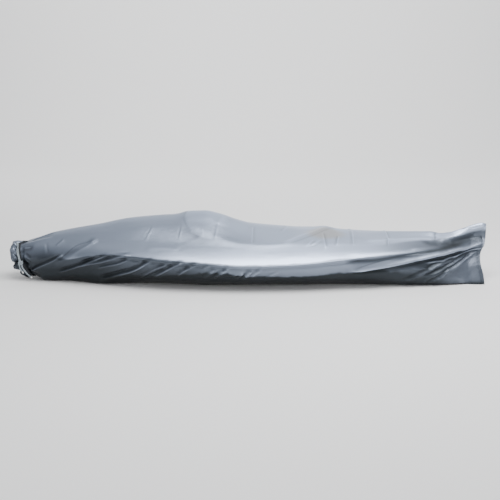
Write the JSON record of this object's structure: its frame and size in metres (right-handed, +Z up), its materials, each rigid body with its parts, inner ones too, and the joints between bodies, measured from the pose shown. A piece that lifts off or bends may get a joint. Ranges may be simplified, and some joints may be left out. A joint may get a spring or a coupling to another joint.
{
  "type": "kayak cover",
  "caption": "Long silver-coated cloth sleeve for a kayak, gathered and tied at the bow and sewn flat at the stern.",
  "frame": {"origin": "on the ground under the middle of the sleeve's length", "axes": "+X from the gathered, tied mouth at the bow to the flat stern seam, -Y the side that the cord's ends hang on, +Z up"},
  "size_m": [2.9906, 0.7568, 0.4339],
  "materials": {
    "silver_cloth": "satin silver coating",
    "black_webbing": "woven webbing",
    "pale_cord": "braided cord",
    "white_tip": "dipped tip"
  },
  "bodies": {
    "root": {"cover": "silver_cloth", "neck_band": "black_webbing", "drawcord": "pale_cord", "cord_end_long": "pale_cord", "cord_end_short": "pale_cord", "cord_tip_long": "white_tip", "cord_tip_short": "white_tip"}
  },
  "joints": []
}
